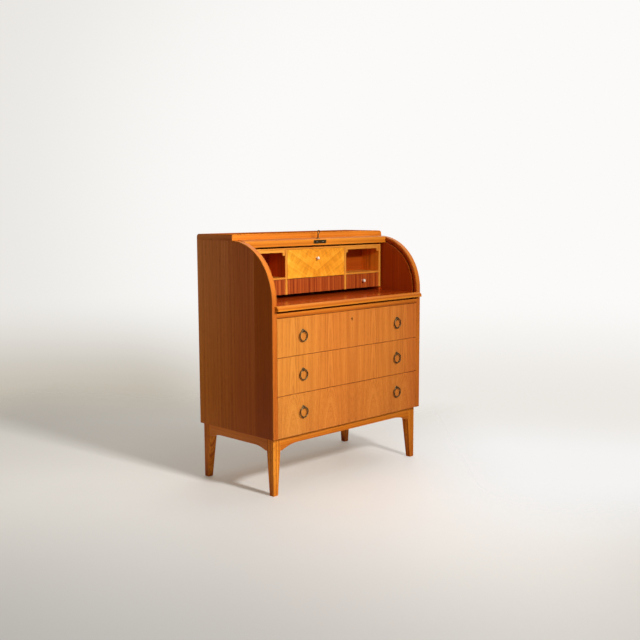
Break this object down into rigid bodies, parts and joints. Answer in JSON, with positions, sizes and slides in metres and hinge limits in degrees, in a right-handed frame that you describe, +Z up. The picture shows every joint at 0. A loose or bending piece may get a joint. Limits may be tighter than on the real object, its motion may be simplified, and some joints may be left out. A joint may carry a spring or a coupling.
{
  "type": "roll-top secretary",
  "caption": "Roll-top writing secretary, tambour rolled open: pull-out slab, interior unit with fall flap and small drawers, long drawers with ring pulls, tapered legs.",
  "frame": {"origin": "on the floor, under the middle of the piece", "axes": "+Z up, front towards -Y, +X to the right as seen from the front"},
  "size_m": [0.9, 0.48, 1.0428],
  "materials": {
    "case_veneer": "satin lacquered mahogany-coloured veneer, grain upright on the sides",
    "front_veneer": "satin lacquered veneer, grain upright",
    "edge_wood": "satin lacquered solid wood",
    "base_wood": "satin stained beech",
    "slab_veneer": "glossy reddish veneer",
    "inner_birch": "satin birch",
    "inner_back": "satin birch veneer",
    "flame_birch": "glossy figured birch veneer, book-matched",
    "ribbon_mahogany": "satin ribbon-striped mahogany veneer",
    "drawer_birch": "plain unfinished birch",
    "back_plywood": "plain plywood",
    "aged_brass": "aged dark brass",
    "lock_brass": "worn brass",
    "bolt_steel": "plain steel",
    "knob_ivory": "glossy ivory-coloured",
    "canvas": "coarse canvas"
  },
  "bodies": {
    "case": {"left_side_panel": "case_veneer", "right_side_panel": "case_veneer", "side_lippings": "edge_wood", "top_board": "case_veneer", "back_panel": "back_plywood", "bottom_board": "drawer_birch", "slab_rail": "edge_wood", "runners": "drawer_birch", "unit_bearers": "drawer_birch", "front_apron": "base_wood", "rear_apron": "base_wood", "side_aprons": "base_wood", "front_left_leg": "base_wood", "front_right_leg": "base_wood", "rear_left_leg": "base_wood", "rear_right_leg": "base_wood", "corner_blocks": "drawer_birch", "base_screws": "bolt_steel", "unit_uprights": "inner_birch", "unit_top": "inner_birch", "unit_floor_and_shelves": "inner_birch", "unit_back": "inner_back", "unit_valances": "inner_birch", "flap_pivots": "lock_brass"},
    "tambour": {"tambour_slats": "edge_wood", "tambour_canvas": "canvas", "tambour_lead_rail": "edge_wood", "tambour_lock": "lock_brass"},
    "tambour_bolt": {"tambour_bolt": "bolt_steel"},
    "key": {"key": "lock_brass"},
    "slab": {"slab_board": "slab_veneer", "slab_lip": "edge_wood"},
    "top_drawer": {"top_drawer_front": "front_veneer", "top_drawer_box": "drawer_birch", "top_drawer_eyes": "aged_brass", "drawer_lock": "lock_brass"},
    "drawer_bolt": {"drawer_bolt": "bolt_steel"},
    "middle_drawer": {"middle_drawer_front": "front_veneer", "middle_drawer_box": "drawer_birch", "middle_drawer_eyes": "aged_brass"},
    "bottom_drawer": {"bottom_drawer_front": "front_veneer", "bottom_drawer_box": "drawer_birch", "bottom_drawer_eyes": "aged_brass"},
    "flap": {"flap_panel": "flame_birch", "flap_knob": "knob_ivory"},
    "left_small_drawer": {"left_small_drawer_front": "ribbon_mahogany", "left_small_drawer_box": "drawer_birch", "left_small_drawer_knob": "knob_ivory"},
    "right_small_drawer": {"right_small_drawer_front": "ribbon_mahogany", "right_small_drawer_box": "drawer_birch", "right_small_drawer_knob": "knob_ivory"},
    "centre_drawer": {"centre_drawer_front": "ribbon_mahogany", "centre_drawer_box": "drawer_birch"},
    "top_left_ring": {"top_left_ring": "aged_brass"},
    "top_right_ring": {"top_right_ring": "aged_brass"},
    "middle_left_ring": {"middle_left_ring": "aged_brass"},
    "middle_right_ring": {"middle_right_ring": "aged_brass"},
    "bottom_left_ring": {"bottom_left_ring": "aged_brass"},
    "bottom_right_ring": {"bottom_right_ring": "aged_brass"}
  },
  "joints": [
    {"name": "tambour_roll", "type": "hinge", "parent": "case", "child": "tambour", "pos_m": [0, 0.013, 0.775], "axis": [-1, 0, 0], "range_deg": [-81.71, 0]},
    {"name": "key_turn", "type": "hinge", "parent": "tambour", "child": "key", "pos_m": [0, -0.01977, 1.0067], "axis": [0, -0.1443, 0.9895], "range_deg": [0, 90]},
    {"name": "tambour_bolt_throw", "type": "slide", "parent": "tambour", "child": "tambour_bolt", "axis": [0, -0.9895, -0.1443], "range_m": [0, 0.008]},
    {"name": "slab_slide", "type": "slide", "parent": "case", "child": "slab", "axis": [0, -1, 0], "range_m": [0, 0.19]},
    {"name": "top_drawer_slide", "type": "slide", "parent": "case", "child": "top_drawer", "axis": [0, -1, 0], "range_m": [0, 0.3]},
    {"name": "middle_drawer_slide", "type": "slide", "parent": "case", "child": "middle_drawer", "axis": [0, -1, 0], "range_m": [0, 0.3]},
    {"name": "bottom_drawer_slide", "type": "slide", "parent": "case", "child": "bottom_drawer", "axis": [0, -1, 0], "range_m": [0, 0.3]},
    {"name": "drawer_bolt_throw", "type": "slide", "parent": "top_drawer", "child": "drawer_bolt", "axis": [0, 0, 1], "range_m": [0, 0.008]},
    {"name": "top_left_ring_swing", "type": "hinge", "parent": "top_drawer", "child": "top_left_ring", "pos_m": [-0.288, -0.2265, 0.6525], "axis": [-1, 0, 0], "range_deg": [0, 80]},
    {"name": "top_right_ring_swing", "type": "hinge", "parent": "top_drawer", "child": "top_right_ring", "pos_m": [0.288, -0.2265, 0.6525], "axis": [-1, 0, 0], "range_deg": [0, 80]},
    {"name": "middle_left_ring_swing", "type": "hinge", "parent": "middle_drawer", "child": "middle_left_ring", "pos_m": [-0.288, -0.2265, 0.497], "axis": [-1, 0, 0], "range_deg": [0, 80]},
    {"name": "middle_right_ring_swing", "type": "hinge", "parent": "middle_drawer", "child": "middle_right_ring", "pos_m": [0.288, -0.2265, 0.497], "axis": [-1, 0, 0], "range_deg": [0, 80]},
    {"name": "bottom_left_ring_swing", "type": "hinge", "parent": "bottom_drawer", "child": "bottom_left_ring", "pos_m": [-0.288, -0.2265, 0.344], "axis": [-1, 0, 0], "range_deg": [0, 80]},
    {"name": "bottom_right_ring_swing", "type": "hinge", "parent": "bottom_drawer", "child": "bottom_right_ring", "pos_m": [0.288, -0.2265, 0.344], "axis": [-1, 0, 0], "range_deg": [0, 80]},
    {"name": "flap_fall", "type": "hinge", "parent": "case", "child": "flap", "pos_m": [0, -0.007, 0.8479], "axis": [1, 0, 0], "range_deg": [0, 90]},
    {"name": "left_small_drawer_slide", "type": "slide", "parent": "case", "child": "left_small_drawer", "axis": [0, -1, 0], "range_m": [0, 0.07]},
    {"name": "right_small_drawer_slide", "type": "slide", "parent": "case", "child": "right_small_drawer", "axis": [0, -1, 0], "range_m": [0, 0.07]},
    {"name": "centre_drawer_slide", "type": "slide", "parent": "case", "child": "centre_drawer", "axis": [0, -1, 0], "range_m": [0, 0.055]}
  ],
  "couplings": [
    {"joint": "tambour_bolt_throw", "follows": "key_turn", "m_per_rad": 0.005093}
  ]
}
